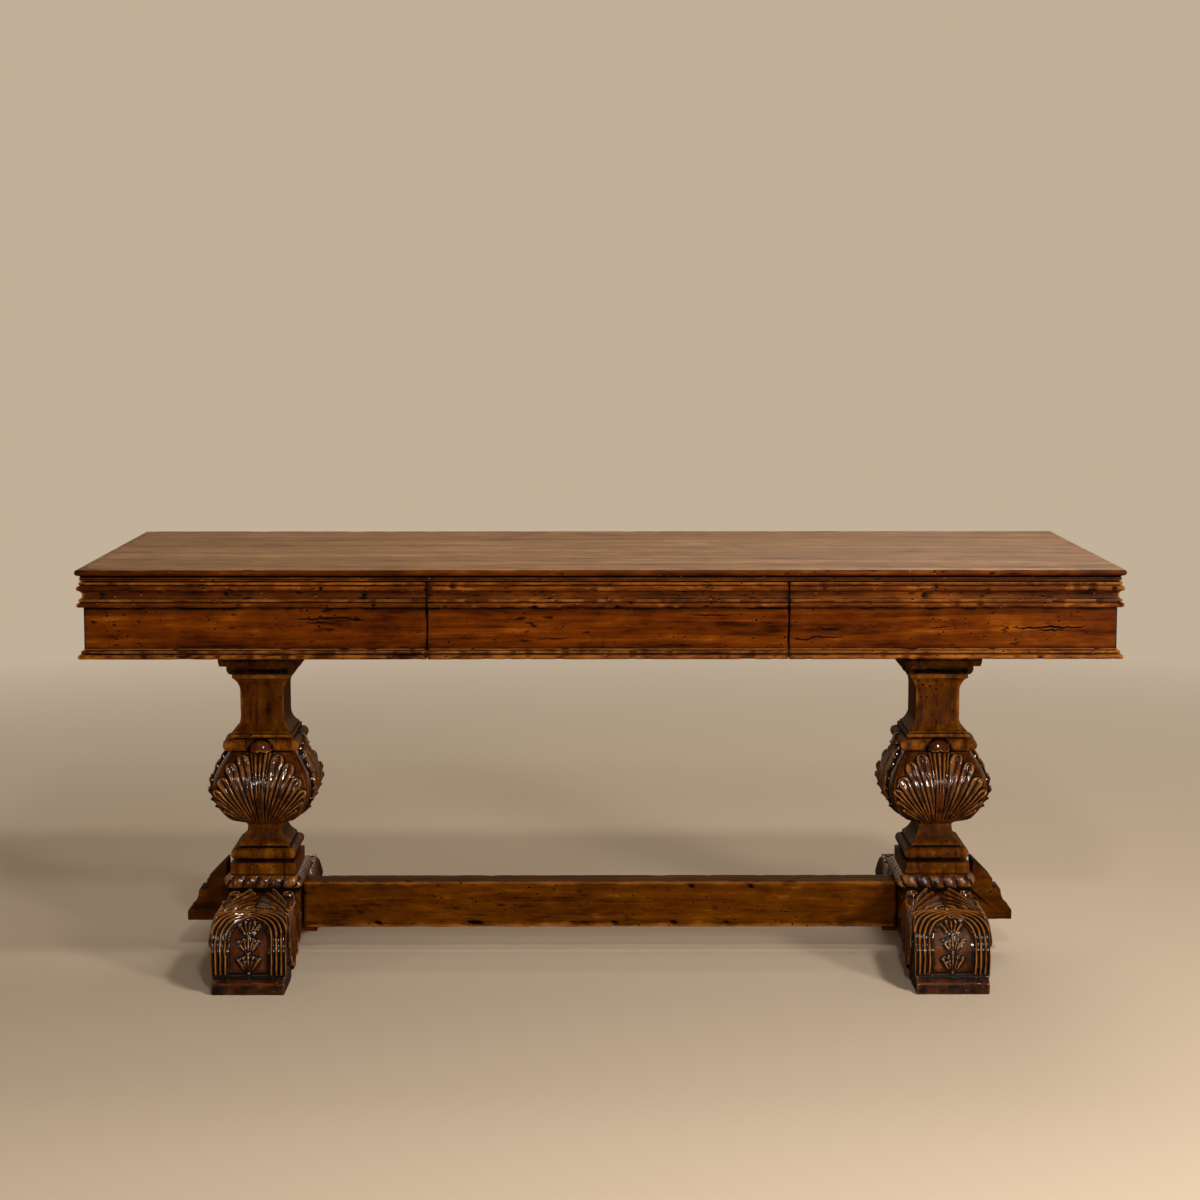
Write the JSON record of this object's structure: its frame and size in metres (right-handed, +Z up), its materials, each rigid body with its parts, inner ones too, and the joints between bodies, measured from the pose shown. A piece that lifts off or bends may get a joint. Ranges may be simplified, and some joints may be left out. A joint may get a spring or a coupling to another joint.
{
  "type": "trestle table",
  "caption": "Refectory table with a moulded top, handle-less drawers in the apron, carved shell-bulb trestles on scroll feet and a low stretcher.",
  "frame": {"origin": "on the floor, under the centre of the top", "axes": "+X along the length to the right, +Y to the back, +Z up; the drawers open towards -Y"},
  "size_m": [1.83, 0.76, 0.77],
  "materials": {
    "walnut_top": "satin lacquer over brown walnut stain",
    "walnut_apron": "glazed and distressed satin lacquer",
    "walnut_carved": "glazed and distressed gloss lacquer",
    "inner_wood": "plain oiled secondary wood",
    "steel": "bright zinc"
  },
  "bodies": {
    "table": {"top_boards": "walnut_top", "top_edge_front": "walnut_top", "top_edge_back": "walnut_top", "top_edge_left": "walnut_top", "top_edge_right": "walnut_top", "end_rail_left": "walnut_apron", "end_rail_right": "walnut_apron", "back_rail": "walnut_apron", "end_cornice_left": "walnut_apron", "end_cornice_right": "walnut_apron", "back_cornice": "walnut_apron", "end_bead_left": "walnut_apron", "end_bead_right": "walnut_apron", "back_bead": "walnut_apron", "front_top_rail": "inner_wood", "front_bottom_rail": "inner_wood", "back_top_rail": "inner_wood", "partition_left": "inner_wood", "partition_right": "inner_wood", "cross_bearer_left": "inner_wood", "cross_bearer_right": "inner_wood", "drawer_runners": "inner_wood", "capital_plate_left": "walnut_carved", "capital_bed_left": "walnut_carved", "post_left": "walnut_carved", "die_left": "walnut_carved", "rope_moulding_left": "walnut_carved", "hub_left": "walnut_carved", "foot_left_front": "walnut_carved", "foot_left_rear": "walnut_carved", "bracket_left": "walnut_carved", "capital_plate_right": "walnut_carved", "capital_bed_right": "walnut_carved", "post_right": "walnut_carved", "die_right": "walnut_carved", "rope_moulding_right": "walnut_carved", "hub_right": "walnut_carved", "foot_right_front": "walnut_carved", "foot_right_rear": "walnut_carved", "bracket_right": "walnut_carved", "stretcher": "walnut_carved", "stretcher_cleats": "walnut_carved", "top_screws": "steel", "bearer_bolts": "steel", "stretcher_pegs": "inner_wood"},
    "drawer_left": {"drawer_left_front": "walnut_apron", "drawer_left_cornice": "walnut_apron", "drawer_left_bead": "walnut_apron", "drawer_left_box": "inner_wood", "drawer_left_bottom": "inner_wood"},
    "drawer_centre": {"drawer_centre_front": "walnut_apron", "drawer_centre_cornice": "walnut_apron", "drawer_centre_bead": "walnut_apron", "drawer_centre_box": "inner_wood", "drawer_centre_bottom": "inner_wood"},
    "drawer_right": {"drawer_right_front": "walnut_apron", "drawer_right_cornice": "walnut_apron", "drawer_right_bead": "walnut_apron", "drawer_right_box": "inner_wood", "drawer_right_bottom": "inner_wood"}
  },
  "joints": [
    {"name": "drawer_left_slide", "type": "slide", "parent": "table", "child": "drawer_left", "axis": [0, -1, 0], "range_m": [0, 0.42]},
    {"name": "drawer_centre_slide", "type": "slide", "parent": "table", "child": "drawer_centre", "axis": [0, -1, 0], "range_m": [0, 0.42]},
    {"name": "drawer_right_slide", "type": "slide", "parent": "table", "child": "drawer_right", "axis": [0, -1, 0], "range_m": [0, 0.42]}
  ]
}
